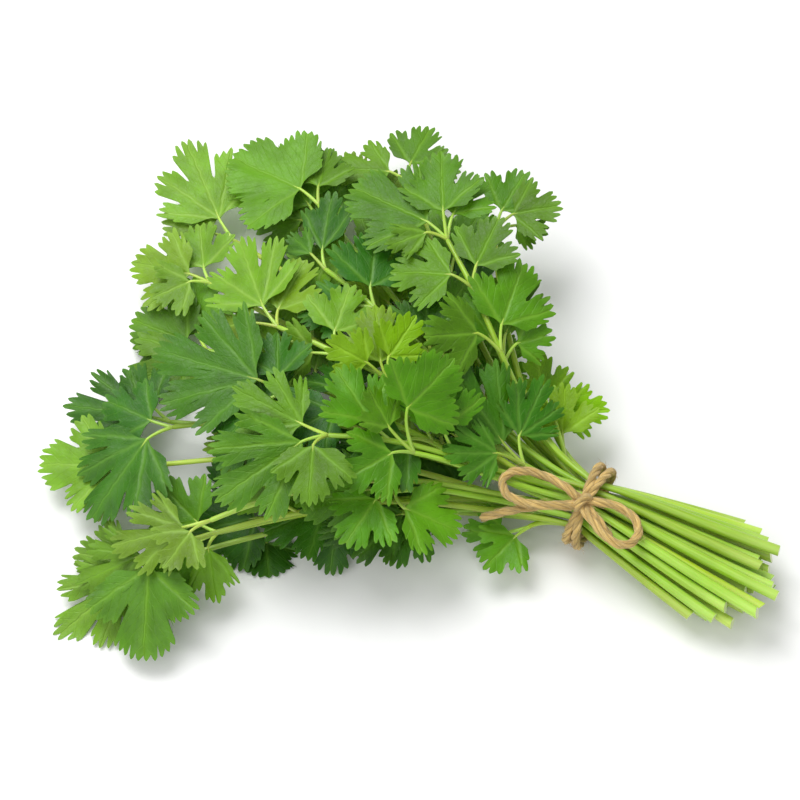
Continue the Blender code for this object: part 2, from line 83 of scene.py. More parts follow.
# How far apart the pairs of leaflets sit on the stems of each row, and how near the tie
PAIR_RULE = {3: (25.0, 35.0), 2: (30.0, 30.0), 1: (44.0, 60.0), 0: (55.0, 65.0),
             -1: (46.0, 60.0), -2: (52.0, 60.0), -3: (200.0, 0.0)}

# Twine
TWINE_RADIUS = 1.85
WRAP_RADIUS = 15.35
FLAT_DEPTH = 0.8
KNOT_TURN = 28.0
# Lean, extra radius and first step of each wrap
WRAPS = ((2.3, 0.25, 0.0), (-2.3, -0.05, 0.5))
# Bearing, length, width and drop of each bow loop
BOW_LOOPS = ((-12.0, 31.0, 9.0, -2.2), (188.0, 24.0, 9.0, 1.2))
# Bearing, length and drop of each loose end
LOOSE_ENDS = ((-30.0, 38.0, 9.0), (203.0, 16.0, 3.0))

# Outline of each kind of leaflet: half of its spread in degrees, number of lobes, teeth
# on a lobe, reach of the outermost lobes and depth of the clefts as parts of its length
LEAF_KINDS = {
    "round": (100.0, 3, 3, 0.80, 0.15),
    "trefoil": (78.0, 3, 3, 0.84, 0.38),
    "cut": (76.0, 5, 2, 0.66, 0.42),
    "wedge": (46.0, 3, 1, 0.86, 0.24),
}

# The wraps are cut flat where they press on the surface below, which is at height 0
TIE_HEIGHT = WRAP_RADIUS + TWINE_RADIUS - FLAT_DEPTH

# Every leafy stem: its row in the bundle, how far its top reaches along and across
# the bundle, its tone and its leaflets as bearing in degrees, length and kind, which is
# trefoil where none is named. A bearing of 0 points away from the tie and turns toward +Y.
# A stem without leaflets listed gets three by rule. The deep tone carries painted shade as well as a darker
# green.
SPRIGS = [
    (3, 27, -2, "deep", ((22, 38, "cut"), (-28, 30, "cut"), (72, 30, "cut"))),
    (3, 62, -26, "green", ((92, 32, "round"), (-60, 24), (30, 22))),
    (3, 92, -38, "green", ((-65, 41, "cut"), (-108, 26), (2, 30, "cut"))),
    (3, 92, 58, "green", ((2, 34), (62, 27), (98, 24), (-48, 18, "wedge"))),
    (2, 117, -25, "deep", ((-8, 47, "cut"), (-70, 26), (60, 20))),
    (2, 83, -4, "lime", ((57, 25), (90, 22), (5, 24))),
    (2, 135, 0, "pale", ((42, 36, "cut"), (92, 24), (-20, 22))),
    (2, 131, 31, "deep", ((72, 26, "wedge"), (22, 16, "wedge"))),
    (2, 52, 29, "green", ((77, 27, "wedge"), (135, 16), (25, 24))),
    (1, 64, -38, "green", ((-38, 28), (-86, 24), (168, 26), (15, 24))),
    (1, 120, -80, "pale", ((-38, 30, "cut"), (-85, 20))),
    (1, 154, -50, "deep", ((-78, 40, "cut"), (0, 22))),
    (1, 17, 13, "lime", ((65, 21), (15, 16))),
    (1, 153, 65, "green", ((2, 35, "round"), (75, 20))),
    (1, 82, 80, "green", ((92, 21), (140, 21), (172, 16))),
    (0, 133, -93, "green", ((-110, 34), (-50, 28, "cut"))),
    (0, 159, -67, "pale", ((-22, 30), (-62, 27))),
    (0, 176, 17, "pale", ((-13, 26), (57, 22), (-55, 20))),
    (0, 178, 39, "pale", ((40, 38, "cut"), (-13, 26))),
    (0, 97, 32, "lime", ((22, 24), (80, 22), (-35, 22))),
    (0, 28, 24, "lime", ((150, 17), (45, 21))),
    (0, 128, 93, "green", ((87, 21), (-20, 22), (150, 18))),
    (-1, 17, -17, "green", ((-28, 24), (-75, 18))),
    (-1, 119, -77, "green", ((-123, 22, "wedge"), (-60, 24), (20, 24))),
    (-1, 52, -32, "deep", ((-43, 34, "cut"), (-85, 20), (10, 24))),
    (-1, 160, -43, "deep", ((-18, 32, "cut"), (30, 22))),
    (-1, 74, 40, "deep", ((72, 28), (20, 24))),
    (-1, 150, 62, "green", ()),
    (-2, 82, -41, "deep", ()),
    (-2, 137, -97, "pale", ((-68, 34, "cut"), (-15, 24), (-125, 20))),
    (-2, 165, -6, "green", ()),
    (-2, 138, 74, "pale", ()),
    (-2, 98, 62, "green", ()),
    (-3, 42, -12, "deep", ((-30, 26), (-85, 20), (30, 24))),
    (-3, 106, -55, "deep", ()),
    (-3, 125, 34, "deep", ()),
    (-3, 58, 28, "green", ()),
]


def smooth(part):
    part = min(max(part, 0.0), 1.0)
    return part * part * (3.0 - 2.0 * part)


def bearing_vector(degrees):
    angle = math.radians(degrees)
    return Vector((-math.cos(angle), math.sin(angle), 0.0))


def turned_between(first, second, share):
    """Bearing part of the way from one bearing to another, the short way round."""
    return first + share * ((second - first + 180.0) % 360.0 - 180.0)


def row_height(row, reach):
    """Height of a row of stems at a distance from the tie: the rows open out, then close."""
    lowest = TIE_HEIGHT - 3.0 * ROW_PITCH - ROW_SAG * smooth((reach - 8.0) / 40.0)
    gap = ROW_PITCH + ROW_OPENING * smooth((reach - 12.0) / 80.0)
    gap -= ROW_CLOSING * smooth((reach - 110.0) / 95.0)
    return lowest + (row + 3) * gap


# Stem paths

def stem_path(row, slot, count, along, across, rng):
    """Points from the cut end, through the tie, to the top where the leaflets start."""
    tie_y = (slot - 0.5 * (count - 1)) * STEM_PITCH
    butt = BUTT_LENGTH * (1.0 - 0.25 * (tie_y / 10.0) ** 2) * (1.0 - 0.05 * max(0, -row))
    butt += rng.uniform(-8.0, 6.0)
    sway = rng.uniform(-0.7, 0.7)
    points = []
    for step in range(BUTT_STEPS, 0, -1):
        out = butt * step / BUTT_STEPS
        spread = 1.0 + (BUTT_SPREAD - 1.0) * (out / BUTT_LENGTH) ** 0.9
        height = row_height(row, 0.0) - 3.3 * smooth(out / 65.0)
        points.append(Vector((out, tie_y * spread + sway * step / BUTT_STEPS, height)))
    hub = Vector((-along, across, 0.0))
    tie = Vector((0.0, tie_y, 0.0))
    span = (hub - tie).length
    arrive = bearing_vector(1.3 * math.degrees(math.atan2(across, along)) + rng.uniform(-8.0, 8.0))
    first = tie + Vector((-0.33 * span, 0.10 * (across - tie_y), 0.0))
    last = hub - arrive * 0.3 * span
    for step in range(TOP_STEPS + 1):
        part = step / TOP_STEPS
        rest = 1.0 - part
        point = tie * rest ** 3 + first * 3.0 * rest * rest * part
        point += last * 3.0 * rest * part * part + hub * part ** 3
        point.z = row_height(row, math.hypot(point.x, point.y))
        points.append(point)
    return points


def stem_radius(point, top_share):
    """Thick at the cut end, squeezed at the tie, thin at the top."""
    if point.x > 0.0:
        return STEM_RADIUS + (BUTT_RADIUS - STEM_RADIUS) * smooth(point.x / 55.0)
    return STEM_RADIUS + 0.12 * smooth(-point.x / 30.0) - 0.37 * top_share


def spread_stems(paths, radii):
    """Nudge the stems apart wherever two come nearer than their thickness and a small gap."""
    start = np.array([[tuple(point) for point in path] for path in paths])
    need = np.array(radii)
    owner = np.repeat(np.arange(len(paths)), start.shape[1])
    held = np.abs(start[..., 0]) < 5.0
    shift = np.zeros_like(start)
    for _ in range(SPREAD_ROUNDS):
        flat = (start + shift).reshape(-1, 3)
        width = need.reshape(-1)
        away = flat[:, None, :] - flat[None, :, :]
        distance = np.sqrt((away ** 2).sum(axis=2)) + 1e-6
        lack = width[:, None] + width[None, :] + STEM_GAP - distance
        lack[owner[:, None] == owner[None, :]] = 0.0
        lack = np.clip(lack, 0.0, None)
        push = (away / distance[..., None] * lack[..., None] * 0.3).sum(axis=1)
        shift += push.reshape(start.shape)
        shift[held] = 0.0
        shift[:, 1:-1] = 0.5 * shift[:, 1:-1] + 0.25 * (shift[:, :-2] + shift[:, 2:])
        lowest = need + 0.15
        under = (start + shift)[..., 2] < lowest
        shift[..., 2][under] = (lowest - start[..., 2])[under]
    return [[Vector(point) for point in path] for path in start + shift]


# Tubes for stems, leaf stalks and twine

def tube(points, radii, sides, slant=0.0):
    """Closed tube through the points; slant cuts the first end at an angle."""
    verts = []
    faces = []
    side = None
    last = len(points) - 1
    for index, point in enumerate(points):
        axis = (points[min(index + 1, last)] - points[max(index - 1, 0)]).normalized()
        if side is None:
            side = axis.orthogonal()
        side = (side - axis * side.dot(axis)).normalized()
        other = axis.cross(side)
        for corner in range(sides):
            turn = 2.0 * math.pi * corner / sides
            out = (side * math.cos(turn) + other * math.sin(turn)) * radii[index]
            lean = axis * (out.dot(side) * slant if index == 0 else 0.0)
            verts.append(point + out + lean)
    for index in range(last):
        for corner in range(sides):
            a = index * sides + corner
            b = index * sides + (corner + 1) % sides
            faces.append((a, b, b + sides))
            faces.append((a, b + sides, a + sides))
    for corner in range(1, sides - 1):
        faces.append((0, corner + 1, corner))
        top = last * sides
        faces.append((top, top + corner, top + corner + 1))
    return verts, faces


# Leaf blades

def leaf_rim(kind, length, rng):
    """Tooth tips and notches round a blade as angle and reach, seen from its base."""
    spread, lobes, teeth, side_reach, cleft = LEAF_KINDS[kind]
    teeth = min(teeth, 2) if length < SMALL_LEAF else teeth
    step = 2.0 * spread / lobes
    rim = [(-spread - 4.0, 0.45 * side_reach)]
    for lobe in range(lobes):
        centre = -spread + step * (lobe + 0.5)
        reach = 1.0 - (1.0 - side_reach) * abs(centre) / (spread - 0.5 * step)
        reach *= rng.uniform(0.93, 1.04)
        for tooth in range(teeth):
            place = TOOTH_SPAN * (tooth - 0.5 * (teeth - 1)) / max(1, teeth - 1)
            rim.append((centre + place * step, reach * (1.0 - 0.9 * place * place)))
        if lobe < lobes - 1:
            rim.append((centre + 0.5 * step, reach * (1.0 - cleft) * rng.uniform(0.92, 1.05)))
    rim.append((spread + 4.0, 0.45 * side_reach))
    return [(math.radians(angle), reach) for angle, reach in rim]


def make_leaf(start, base, bearing, normal, length, kind, rng):
    ahead = bearing_vector(bearing)
    ahead = (ahead - normal * ahead.dot(normal)).normalized()
    return {
        "start": start, "base": base, "ahead": ahead, "side": normal.cross(ahead),
        "normal": normal, "length": length, "kind": kind, "rim": leaf_rim(kind, length, rng),
        "droop": rng.uniform(0.02, 0.16), "fold": rng.uniform(0.02, 0.12),
        "wave": rng.uniform(0.02, 0.05), "phase": rng.uniform(-0.5, 0.5),
    }


def blade_point(leaf, angle, reach):
    """Point on the middle surface of a blade, at an angle and a part of its length."""
    spread = math.radians(LEAF_KINDS[leaf["kind"]][0])
    lobes = LEAF_KINDS[leaf["kind"]][1]
    ripple = math.cos(math.pi * lobes * angle / spread + leaf["phase"])
    rise = leaf["fold"] * reach * abs(math.sin(angle)) - leaf["droop"] * reach * reach
    rise += leaf["wave"] * reach * reach * ripple
    flat = leaf["ahead"] * math.cos(angle) + leaf["side"] * math.sin(angle)
    point = leaf["base"] + (flat * reach + leaf["normal"] * rise) * leaf["length"]
    point.z = max(point.z, 0.5 * LEAF_THICKNESS + 0.02)
    return point


def blade_middle(leaf, grow):
    """Points of the middle surface: one inside each lobe of a large blade, then the rim."""
    spread, lobes = LEAF_KINDS[leaf["kind"]][:2]
    step = math.radians(2.0 * spread / lobes)
    inner = []
    if leaf["length"] > LARGE_LEAF:
        inner = [(step * (lobe - lobes // 2), 0.30) for lobe in range(lobes)]
    wider = 1.0 + grow / leaf["length"]
    points = [blade_point(leaf, angle, reach) for angle, reach in inner]
    points += [blade_point(leaf, angle, reach * wider) for angle, reach in leaf["rim"]]
    return points, [angle for angle, _ in inner]


def blade_triangles(rim, inner):
    """Triangles of one face as indices: 0 is the base, then the inner points, then the rim.

    A cleft counts to the lobe after it.
    """
    first = 1 + len(inner)
    last = first + len(rim) - 1
    if not inner:
        return [(0, index, index + 1) for index in range(first, last)]
    near = [min(range(len(inner)), key=lambda i: abs(inner[i] - angle - 0.001)) for angle, _ in rim]
    triangles = [(0, first, 1), (0, len(inner), last)]
    triangles += [(0, index, index + 1) for index in range(1, len(inner))]
    for index in range(len(rim) - 1):
        triangles.append((1 + near[index], first + index, first + index + 1))
        for step in range(near[index], near[index + 1]):
            triangles.append((1 + step, first + index + 1, 2 + step))
    return triangles


def leaflet(leaf, gap=0.0):
    """Blade and stalk as one closed solid, made thicker by a gap on every side.

    The stalk is square with one corner up. Its outer end is the base of the blade, whose
    two faces carry the same triangles.
    """
    radius = STALK_RADIUS + gap
    half = leaf["normal"] * (0.5 * LEAF_THICKNESS + gap)
    axis = (leaf["base"] - leaf["start"]).normalized()
    up = (leaf["normal"] - axis * leaf["normal"].dot(axis)).normalized()
    side = up.cross(axis) * radius
    verts = []
    for point, lift, part in ((leaf["start"], up * radius, 0.9), (leaf["base"], half * 1.3, 1.0)):
        verts += [point + lift * part, point + side * part, point - lift * part, point - side * part]
    faces = [(0, 1, 2), (0, 2, 3)]
    for here in range(4):
        after = (here + 1) % 4
        faces += [(here, here + 4, after + 4), (here, after + 4, after)]
    middle, inner = blade_middle(leaf, gap)
    upper = len(verts) - 1
    lower = upper + len(middle)
    verts += [point + half for point in middle] + [point - half for point in middle]
    for a, b, c in blade_triangles(leaf["rim"], inner):
        faces.append((upper + a if a else 4, upper + b, upper + c))
        faces.append((lower + a if a else 6, lower + c, lower + b))
    first = len(inner) + 1
    last = len(middle)
    for index in range(first, last):
        faces += [(upper + index, lower + index, lower + index + 1),
                  (upper + index, lower + index + 1, upper + index + 1)]
    for corner, index in ((7, first), (5, last)):
        faces += [(4, corner, upper + index), (corner, lower + index, upper + index),
                  (corner, 6, lower + index)]
    return verts, faces


# Finding room for each leaflet

class Shape:
    """A piece already in place, with a search tree and its bounding box."""

    def __init__(self, owner, verts, faces):
        self.owner = owner
        self.faces = faces
        self.tree = BVHTree.FromPolygons([tuple(vert) for vert in verts], faces)
        self.low = [min(vert[axis] for vert in verts) for axis in range(3)]
        self.high = [max(vert[axis] for vert in verts) for axis in range(3)]

    def near(self, other):
        pairs = zip(self.low, self.high, other.low, other.high)
        return all(low <= far and near <= high for low, high, near, far in pairs)

    def meets(self, others):
        return any(self.near(other) and self.tree.overlap(other.tree) for other in others)

    def crosses_itself(self):
        pairs = self.tree.overlap(self.tree)
        return any(set(self.faces[a]).isdisjoint(self.faces[b]) for a, b in pairs)


def blade_normal(base, row, tilt, rng):
    """Across the slope of the row of stems, leaning to the side the bunch is seen from."""
    outward = Vector((base.x, base.y, 0.0))
    reach = outward.length
    slope = (row_height(row + 0.5, reach + 3.0) - row_height(row + 0.5, reach - 3.0)) / 6.0
    lean = [part + rng.uniform(-tilt, tilt) for part in VIEW_LEAN]
    normal = Vector((lean[0], lean[1], 1.0))
    return (normal - outward.normalized() * slope * 0.8).normalized()


def place_leaf(owner, row, start, direction, tilt, bearing, length, kind, placed, own, rng):
    """Try the wanted place first, then small turns, tilts and lifts until it fits."""
    stem_bearing = math.degrees(math.atan2(direction.y, -direction.x))
    others = [shape for shape in placed if shape.owner != owner]
    for tries in range(LEAF_TRIES):
        turn = rng.uniform(-0.8, 0.8) * tries
        size = length * (1.0 - 0.009 * tries)
        stalk = 3.5 + 0.16 * size + rng.uniform(0.0, 2.0) + 0.1 * tries
        out = bearing_vector(turned_between(stem_bearing, bearing + turn, 0.65))
        lift = 0.25 + rng.uniform(-0.12, 0.2) + rng.uniform(0.0 if row == 3 else -0.025, 0.025) * tries
        base = start + (out + Vector((0.0, 0.0, lift + direction.z))) * stalk
        base.z = max(base.z, STALK_RADIUS + 0.15)
        normal = blade_normal(base, row, tilt + 0.014 * tries, rng)
        leaf = make_leaf(start, base, bearing + turn, normal, size, kind, rng)
        alone = dict(leaf, start=base - leaf["ahead"])
        if Shape(owner, *leaflet(alone, LEAF_GAP)).meets(own):
            continue
        if Shape(owner, *leaflet(leaf, LEAF_GAP)).meets(others):
            continue
        shape = Shape(owner, *leaflet(leaf))
        if shape.crosses_itself():
            continue
        own.append(Shape(owner, *leaflet(alone)))
        placed.append(shape)
        return leaf
    return None


def stem_point(path, part):
    """Point and direction on the leafy side of a stem, part 1 being its top."""
    place = BUTT_STEPS + part * TOP_STEPS
    index = min(int(place), BUTT_STEPS + TOP_STEPS - 1)
    step = path[index + 1] - path[index]
    return path[index] + step * (place - index), step.normalized()


def top_leaves(sprig, path, rng):
    """Leaflets at the top of a stem: start, direction there, tilt, bearing, length and kind."""
    row, along, across, tone, listed = sprig
    top, direction = stem_point(path, 0.995)
    heading = math.degrees(math.atan2(direction.y, -direction.x))
    if not listed:
        turns = (rng.uniform(-12, 12), rng.uniform(52, 74), rng.uniform(-74, -52))
        kinds = [rng.choice(("trefoil", "trefoil", "round")) for _ in turns]
        listed = [(heading + turn, rng.uniform(24, 31), kind) for turn, kind in zip(turns, kinds)]
    return [(top, direction, NEAT_TILT, *(*leaf, "trefoil")[:3]) for leaf in listed]


def side_leaves(sprig, path, rng):
    """Pairs of leaflets down a stem, left out where they would leave the fan of the bunch."""
    row, along, across, tone, listed = sprig
    leaves = []
    reach = math.hypot(along, across)
    apart, nearest = PAIR_RULE[row]
    place = reach - apart
    while place > nearest:
        start, ahead = stem_point(path, place / reach)
        heading = math.degrees(math.atan2(ahead.y, -ahead.x))
        for turn in (rng.uniform(42, 80), rng.uniform(-80, -42)):
            length = rng.uniform(22, 29)
            tip = start + bearing_vector(heading + turn) * (length + 7.0)
            if FAN_SIDES[0] < math.degrees(math.atan2(tip.y, -tip.x)) < FAN_SIDES[1]:
                leaves.append((start, ahead, LOOSE_TILT, heading + turn, length, "trefoil"))
        place -= apart
    return leaves


def thin_out(path):
    """Indices of the points that keep the path's shape, the tie always among them."""
    keep = {0, BUTT_STEPS, len(path) - 1}
    spans = [(0, BUTT_STEPS), (BUTT_STEPS, len(path) - 1)]
    while spans:
        low, high = spans.pop()
        chord = path[high] - path[low]
        worst = max(range(low, high), key=lambda i: chord.cross(path[i] - path[low]).length)
        if chord.cross(path[worst] - path[low]).length / chord.length > STEM_BEND:
            keep.add(worst)
            spans += [(low, worst), (worst, high)]
    return sorted(keep)


def coarse_stem(path, radii, slant=0.0):
    keep = thin_out(path)
    return tube([path[index] for index in keep], [1.06 * radii[index] for index in keep], 5, slant)


def lay_out(twine_shapes):
    """Stems and leaflets of the whole bunch, none of them crossing another."""
    paths = []
    radii = []
    for index, (row, along, across, tone, listed) in enumerate(SPRIGS):
        peers = [item for item in SPRIGS if item[0] == row]
        peers.sort(key=lambda item: math.atan2(item[2], item[1] - TURN_OUT))
        slot = peers.index(SPRIGS[index])
        path = stem_path(row, slot, len(peers), along, across, random.Random(SEED + index))
        paths.append(path)
        radii.append([stem_radius(point, max(0.0, (step - BUTT_STEPS) / TOP_STEPS))
                      for step, point in enumerate(path)])
    paths = spread_stems(paths, radii)
    placed = list(twine_shapes)
    for index, path in enumerate(paths):
        placed.append(Shape(index, *coarse_stem(path, radii[index])))
    draws = [random.Random(SEED + 100 + index) for index in range(len(SPRIGS))]
    leaves = [[] for _ in SPRIGS]
    blades = [[] for _ in SPRIGS]
    for choose in (top_leaves, side_leaves):
        for index, sprig in enumerate(SPRIGS):
            for wanted in choose(sprig, paths[index], draws[index]):
                leaf = place_leaf(index, sprig[0], *wanted, placed, blades[index], draws[index])
                if leaf:
                    leaves[index].append(leaf)
    return [{"path": paths[index], "radii": radii[index], "leaves": leaves[index], "tone": sprig[3],
             "slant": draws[index].uniform(-0.6, 0.6)} for index, sprig in enumerate(SPRIGS)]


# Twine

def twine_paths():
    """Two wraps crossing at the knot, a bow of two loops, two tails and the knot itself."""
    knot_turn = math.radians(KNOT_TURN)
    knot = Vector((0.0, -WRAP_RADIUS * math.sin(knot_turn), TIE_HEIGHT + WRAP_RADIUS * math.cos(knot_turn)))
    paths = []
    for lean, extra, start in WRAPS:
        radius = WRAP_RADIUS + extra
        ring = []
        for step in range(18):
            turn = 2.0 * math.pi * (step + start) / 18.0
            angle = turn + knot_turn
            ring.append(Vector((lean * math.sin(turn), -radius * math.sin(angle),
                                TIE_HEIGHT + radius * math.cos(angle))))
        paths.append((ring, True))
    for bearing, length, width, drop in BOW_LOOPS:
        ahead = bearing_vector(bearing)
        side = Vector((-ahead.y, ahead.x, 0.0))
        loop = []
        for step in range(11):
            turn = 2.0 * math.pi * step / 10.0
            far = 0.5 * (1.0 - math.cos(turn))
            bulge = math.sin(turn) * (0.35 + 0.65 * far)
            point = knot + ahead * (length * far) + side * (width * bulge)
            point.z += 1.6 + 1.8 * math.sin(math.pi * min(1.0, far * 1.2)) - drop * far * far
            loop.append(point)
        paths.append((loop[:-1], True))
    for bearing, length, drop in LOOSE_ENDS:
        ahead = bearing_vector(bearing)
        tail = []
        for step in range(6):
            part = step / 5.0
            point = knot + ahead * (length * part)
            point.z += 0.8 + 1.5 * math.sin(math.pi * part) - drop * part * part
            tail.append(point)
        paths.append((tail, False))
    band = []
    for step in range(8):
        turn = 2.0 * math.pi * step / 8.0
        band.append(knot + Vector((1.2 * math.sin(turn), 2.6 * math.sin(turn), 2.4 + 2.9 * math.cos(turn))))
    paths.append((band, True))
    return paths


def ring_tube(points, radius, sides):
    """Tube round a closed path."""
    verts = []
    faces = []
    count = len(points)
    centre = sum(points, Vector()) / count
    for index, point in enumerate(points):
        axis = (points[(index + 1) % count] - points[index - 1]).normalized()
        side = (point - centre) - axis * (point - centre).dot(axis)
        side = side.normalized()
        other = axis.cross(side)
        for corner in range(sides):
            turn = 2.0 * math.pi * (corner + 0.5) / sides
            verts.append(point + (side * math.cos(turn) + other * math.sin(turn)) * radius)
    for index in range(count):
        for corner in range(sides):
            a = index * sides + corner
            b = index * sides + (corner + 1) % sides
            c = ((index + 1) % count) * sides + corner
            d = ((index + 1) % count) * sides + (corner + 1) % sides
            faces.append((a, b, d))
            faces.append((a, d, c))
    return verts, faces


def twine_tubes(radius, sides):
    parts = []
    for points, closed in twine_paths():
        if closed:
            parts.append(ring_tube(points, radius, sides))
        else:
            parts.append(tube(points, [radius] * len(points), sides))
    return parts


# Fine shapes

# Blades, stalks and ribs
BLADE_THICKNESS = 0.36
EDGE_THICKNESS = 0.22
RINGS = (0.14, 0.30, 0.46, 0.62, 0.77, 0.89, 1.0)
TOOTH_PITCH = 3.1
TOOTH_DEPTHS = {"round": 1.9, "trefoil": 2.4, "cut": 2.6, "wedge": 2.4}
# Places along a tooth and how deep they lie: its flanks, its blunt tip, the notch after it
TOOTH_PROFILE = ((-0.28, 0.40), (-0.06, 0.02), (0.06, 0.02), (0.28, 0.40), (0.5, 1.0))
LOBE_WIDTH = 0.97
CLEFT_WIDTH = 1.2
CLEFT_REACH = 0.95
BASE_TAPER = 0.26
CREASE = 0.11
WAVINESS = 1.1
WAVE_SIZE = 8.0
RUFFLE = 0.45
RUFFLE_SIZE = 3.2
LOBE_BEND = 0.09
STALK_ROOT = 0.80
STALK_TIP = 0.55
RIB_RADIUS = 0.26
STALK_STEPS = 6
# Distance from the tie to the outermost leaflets
BUNCH_REACH = 190.0
# Angle in degrees from which an edge is shaded sharp
SHARP_ANGLE = 50.0

# Stems
STEM_SIDES = 14
STEM_STEPS = 3

# Plies and loose fibres of the twine
PLY_COUNT = 3
PLY_RADIUS = 1.02
PLY_OFFSET = 0.76
PLY_PITCH = 17.0
PLY_SIDES = 8
PLY_STEP = 0.9
FIBRE_RADIUS = 0.065
FIBRES_PER_MM = 2.2


# Materials of a leafy stem in order, and those of the twine
TOP, UNDER, STEM, CUT = range(4)
YARN, FUZZ = range(2)


class Skin:
    """Vertices, faces and surface values collected for one piece.

    The value place tells where a point lies on its leaflet, stem or ply and holds a chance,
    shape holds measures of the piece there, and outer is how far a leaflet is from the tie.
    """

    def __init__(self):
        self.verts = []
        self.faces = []
        self.slots = []
        self.place = []
        self.shape = []
        self.outer = []

    def add(self, verts, faces, slots, place, shape, outer=0.0):
        first = len(self.verts)
        self.verts += verts
        self.faces += [tuple(index + first for index in face) for face in faces]
        self.slots += slots
        self.place += place
        self.shape += shape
        self.outer += [(outer, 0.0, 0.0)] * len(verts)

    def piece(self, name, materials, shift):
        mesh = bpy.data.meshes.new(name)
        mesh.from_pydata([tuple((vert + shift) * MM) for vert in self.verts], [], self.faces)
        for material in materials:
            mesh.materials.append(material)
        mesh.polygons.foreach_set("material_index", self.slots)
        for label, values in (("place", self.place), ("shape", self.shape), ("outer", self.outer)):
            layer = mesh.attributes.new(label, "FLOAT_VECTOR", "POINT")
            layer.data.foreach_set("vector", np.array(values, dtype=np.float32).ravel())
        mesh.shade_smooth()
        mesh.set_sharp_from_angle(angle=math.radians(SHARP_ANGLE))
        mesh.update()
        obj = bpy.data.objects.new(name, mesh)
        bpy.context.scene.collection.objects.link(obj)
        return obj


def fine_tube(skin, points, radii, sides, slot, chance, slant=0.0):
    """Smooth closed tube whose surface values are the way along it, round it and a chance."""
    verts, faces = tube(points, radii, sides, slant)
    for vert in verts:
        vert.z = max(vert.z, 0.0)
    place = []
    along = 0.0
    for index, point in enumerate(points):
        if index:
            along += (point - points[index - 1]).length
        for corner in range(sides):
            place.append((along, 2.0 * math.pi * corner / sides, chance))
    shape = [(radius, 0.0, 0.0) for radius in radii for _ in range(sides)]
    skin.add(verts, faces, [slot] * len(faces), place, shape)


# Leaflets

def lobe_reach(leaf, lobe):
    """How far a lobe reaches, as a part of the blade's length."""
    lobes = LEAF_KINDS[leaf["kind"]][1]
    teeth = (len(leaf["rim"]) - 1 - lobes) // lobes
    tips = leaf["rim"][1 + lobe * (teeth + 1):][:teeth]
    return max(reach for _, reach in tips) / (1.0 if teeth % 2 else 0.92)


def fine_rim(leaf, rng):
    """The rim as points in the plane of the blade: toothed lobes cut by narrow clefts."""
    length = leaf["length"]
    spread, lobes = LEAF_KINDS[leaf["kind"]][:2]
    step = math.radians(2.0 * spread / lobes)
    depth = TOOTH_DEPTHS[leaf["kind"]] * math.sqrt(length / 30.0) / length
    line = [leaf["rim"][0]]
    for lobe in range(lobes):
        centre = step * (lobe + 0.5 - 0.5 * lobes)
        reach = lobe_reach(leaf, lobe)
        outer = {0: -1.0, lobes - 1: 1.0}.get(lobe, 0.0)
        teeth = max(4, round(LOBE_WIDTH * step * reach * length / TOOTH_PITCH))
        split = {round(teeth * 0.33), round(teeth * 0.67)} if teeth > 5 else {rng.choice((2, teeth - 2))}
        for tooth in range(teeth):
            jitter = rng.uniform(-0.08, 0.08)
            rise = rng.uniform(-0.25, 0.25)
            for shift, drop in TOOTH_PROFILE:
                share = 2.0 * (tooth + 0.5 + shift + (jitter if shift < 0.5 else 0.0)) / teeth - 1.0
                edge = reach * (1.0 - 0.15 * share * share)
                edge *= 1.0 - 0.34 * smooth((share * outer - 0.1) / 0.9)
                if shift == 0.5:
                    if tooth == teeth - 1:
                        break
                    drop = rng.uniform(0.8, 1.2) * (2.1 if tooth + 1 in split else 1.0)
                else:
                    drop -= rise
                line.append((centre + 0.5 * LOBE_WIDTH * step * share, edge - depth * drop))
        if lobe < lobes - 1:
            notch = min(r for a, r in leaf["rim"] if abs(a - centre - 0.5 * step) < 0.02) * CLEFT_REACH
            turn = centre + 0.5 * step + rng.uniform(-0.02, 0.02) * step
            half = 0.5 * CLEFT_WIDTH / (length * notch)
            line += [(turn - 1.1 * half, notch + 0.10), (turn - half, notch + 0.03), (turn, notch),
                     (turn + half, notch + 0.03), (turn + 1.1 * half, notch + 0.10)]
    line.append(leaf["rim"][-1])
    # Angles only grow along the rim, so that no part of the blade folds over another
    for index in range(1, len(line)):
        line[index] = (max(line[index][0], line[index - 1][0] + 0.001), line[index][1])
    return [Vector((math.cos(angle), math.sin(angle))) * reach * length for angle, reach in line]


def lobe_offset(leaf, angle):
    """Angle from the main vein of the nearest lobe."""
    spread, lobes = LEAF_KINDS[leaf["kind"]][:2]
    step = math.radians(2.0 * spread / lobes)
    return (angle / step + 0.5) % 1.0 * step - 0.5 * step, step


def lobe_bend(leaf, angle, reach, chance):
    """Lift of a lobe of its own, the same for its whole width past the clefts."""
    spread, lobes = LEAF_KINDS[leaf["kind"]][:2]
    place = (math.degrees(angle) + spread) / (2.0 * spread / lobes) - 0.5
    bends = [noise.noise(Vector((3.7 * lobe, 50.0 * chance, 0.5))) for lobe in range(-1, lobes + 1)]
    place = min(max(place, -0.5), lobes - 0.5)
    near = int(math.floor(place))
    between = bends[near + 1] + (bends[near + 2] - bends[near + 1]) * (place - near)
    own = bends[int(round(place)) + 1]
    bend = between + (own - between) * smooth((reach - 0.45) / 0.3)
    return LOBE_BEND * leaf["length"] * reach * reach * bend


